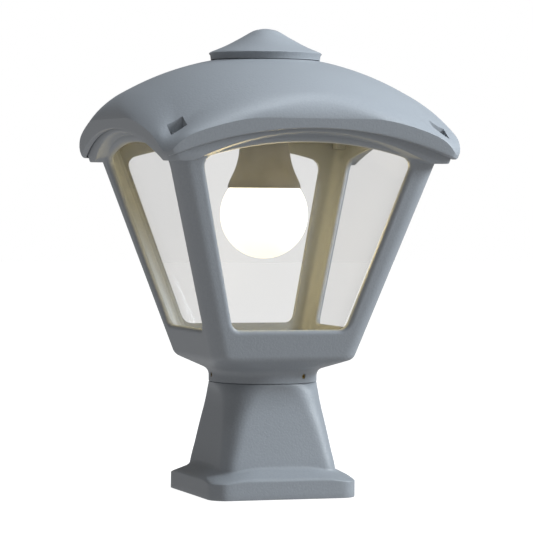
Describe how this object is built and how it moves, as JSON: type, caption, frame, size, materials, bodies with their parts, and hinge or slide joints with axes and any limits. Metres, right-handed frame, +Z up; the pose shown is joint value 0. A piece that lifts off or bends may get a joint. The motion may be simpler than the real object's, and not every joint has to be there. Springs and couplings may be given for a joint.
{
  "type": "post top lantern",
  "caption": "Tapered four-window outdoor lantern on a short square-footed pedestal, with a domed roof, a pointed cap, a clear inner diffuser and a screw-in lamp that hangs from the roof.",
  "frame": {"origin": "centre of the pedestal's underside", "axes": "+Z is up along the lantern's axis, -Y is the window nearest the camera, and -X is the window on the left in the picture"},
  "size_m": [0.2202, 0.2202, 0.3165],
  "materials": {
    "shell_plastic": "satin silver-grey moulded resin",
    "clear_plastic": "clear smooth polycarbonate",
    "grommet_rubber": "matt black",
    "brass": "machined, slightly dull",
    "screw_steel": "bright zinc plated",
    "tray_plastic": "white, fine texture",
    "holder_plastic": "black, half gloss",
    "ceramic": "white glazed ceramic",
    "plated_metal": "bright, thinly plated",
    "live_lead": "brown insulation",
    "neutral_lead": "blue insulation",
    "opal_plastic": "opal white, softly frosted",
    "housing_plastic": "warm light grey",
    "board_metal": "white coated",
    "phosphor": "yellow phosphor",
    "dark_glass": "black glass"
  },
  "bodies": {
    "base": {"pedestal": "shell_plastic", "cable_grommet": "grommet_rubber"},
    "lantern_head": {"lantern_frame": "shell_plastic", "clear_diffuser": "clear_plastic", "collar_inserts": "brass", "set_screws": "brass", "roof_screw_inserts": "brass"},
    "roof": {"roof_shell": "shell_plastic", "finial_cap": "shell_plastic", "finial_washer": "screw_steel", "finial_screw": "screw_steel", "screw_washers": "screw_steel", "roof_screws": "screw_steel", "gear_tray": "tray_plastic", "tray_gasket": "grommet_rubber", "tray_screws": "screw_steel", "lampholder_shell": "holder_plastic", "lampholder_ring": "holder_plastic", "lampholder_insert": "ceramic", "lampholder_cap": "holder_plastic", "screw_shell": "plated_metal", "centre_contact": "brass", "shell_rivet": "brass", "lead_live": "live_lead", "lead_neutral": "neutral_lead", "terminal_block": "tray_plastic", "terminal_screw_left": "screw_steel", "terminal_screw_right": "screw_steel", "block_screw": "screw_steel", "cord_clamp": "tray_plastic", "clamp_screw_left": "screw_steel", "clamp_screw_right": "screw_steel"},
    "bulb": {"bulb_globe": "opal_plastic", "bulb_housing": "housing_plastic", "led_board": "board_metal", "led_chips": "phosphor", "bulb_screw_cap": "plated_metal", "bulb_tip_insulator": "dark_glass", "bulb_tip_contact": "plated_metal"}
  },
  "joints": [
    {"name": "head_turn", "type": "hinge", "parent": "base", "child": "lantern_head", "pos_m": [0, 0, 0.081], "axis": [0, 0, 1], "range_deg": [-180, 180]},
    {"name": "roof_lift", "type": "slide", "parent": "lantern_head", "child": "roof", "axis": [0, 0, 1], "range_m": [0, 0.12]},
    {"name": "bulb_out", "type": "slide", "parent": "roof", "child": "bulb", "axis": [0, 0, -1], "range_m": [0, 0.03]}
  ]
}
